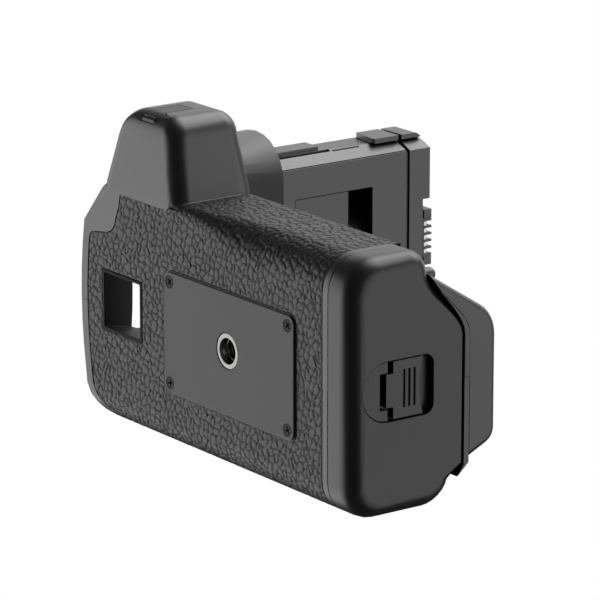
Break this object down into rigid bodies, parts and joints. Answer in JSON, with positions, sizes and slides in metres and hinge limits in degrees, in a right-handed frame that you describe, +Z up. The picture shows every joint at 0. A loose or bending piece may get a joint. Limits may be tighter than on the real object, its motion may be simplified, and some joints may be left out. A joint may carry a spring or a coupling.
{
  "type": "camera battery grip",
  "caption": "Battery grip that screws under a small reflex camera, with a battery-shaped insert, a hand hump, a pull-out battery magazine with a sliding latch, a strap hole and a tripod socket.",
  "frame": {"origin": "on the tripod socket's axis, at the outer face of the tripod plate", "axes": "+Z up towards the camera, +X along the length to the magazine end, -Y to the front where the hump is"},
  "size_m": [0.128, 0.0936, 0.1045],
  "materials": {
    "shell": "fine-textured charcoal moulding",
    "skin": "pebbled leather-grain rubber",
    "liner": "smooth black moulding",
    "plate": "satin charcoal paint with fine lengthwise lines",
    "black_screw": "black oxide",
    "nickel": "bright nickel plate",
    "steel": "plain steel",
    "flap": "satin charcoal rubber",
    "cap": "fine-textured charcoal moulding",
    "insert": "satin black moulding",
    "contact": "plated contact metal",
    "board": "green solder mask",
    "lead": "flat film lead",
    "wheel": "notched black moulding",
    "control": "satin black moulding"
  },
  "bodies": {
    "housing": {"front_shell": "shell", "rear_shell": "shell", "grip_skin": "skin", "strap_liner": "liner", "tripod_plate": "plate", "plate_screws": "black_screw", "tripod_socket": "nickel", "cable_jack": "liner", "circuit_board": "board", "release_switch": "liner", "upper_cover": "shell", "cover_screws": "black_screw", "tower_frame": "insert", "tower_side": "insert", "tower_head": "insert", "contact_comb": "insert", "contact_blades": "contact", "tower_lead": "lead", "battery_bay": "liner", "bay_contacts": "contact"},
    "port": {"port_cover": "flap"},
    "wheel": {"mounting_screw": "steel", "thumb_wheel": "wheel", "wheel_clip": "steel"},
    "magazine": {"magazine_tray": "liner", "magazine_cap": "cap", "cap_screws": "steel", "latch_guide": "cap", "latch_spring": "steel"},
    "latch": {"latch_slider": "cap"},
    "button": {"shutter_button": "control"},
    "lever": {"power_lever": "control"}
  },
  "joints": [
    {"name": "magazine_slide", "type": "slide", "parent": "housing", "child": "magazine", "axis": [1, 0, 0], "range_m": [0, 0.064]},
    {"name": "latch_slide", "type": "slide", "parent": "magazine", "child": "latch", "axis": [0, 0, -1], "range_m": [0, 0.0016], "stiffness_N_per_m": 300, "springref_m": -0.003, "deforming": ["latch_spring"]},
    {"name": "wheel_turn", "type": "hinge", "parent": "housing", "child": "wheel", "pos_m": [0, 0.0085, 0.0447], "axis": [0, 0, 1], "continuous": true},
    {"name": "port_flap", "type": "hinge", "parent": "housing", "child": "port", "pos_m": [-0.0423, -0.058, 0.016], "axis": [-1, 0, 0], "range_deg": [0, 100]},
    {"name": "button_press", "type": "slide", "parent": "housing", "child": "button", "axis": [0.7566, 0.6539, 0], "range_m": [0, 0.001], "stiffness_N_per_m": 800, "springref_m": -0.0015},
    {"name": "lever_turn", "type": "hinge", "parent": "housing", "child": "lever", "pos_m": [-0.06687, -0.02734, 0.0145], "axis": [-0.7566, -0.6539, 0], "range_deg": [0, 40]}
  ]
}
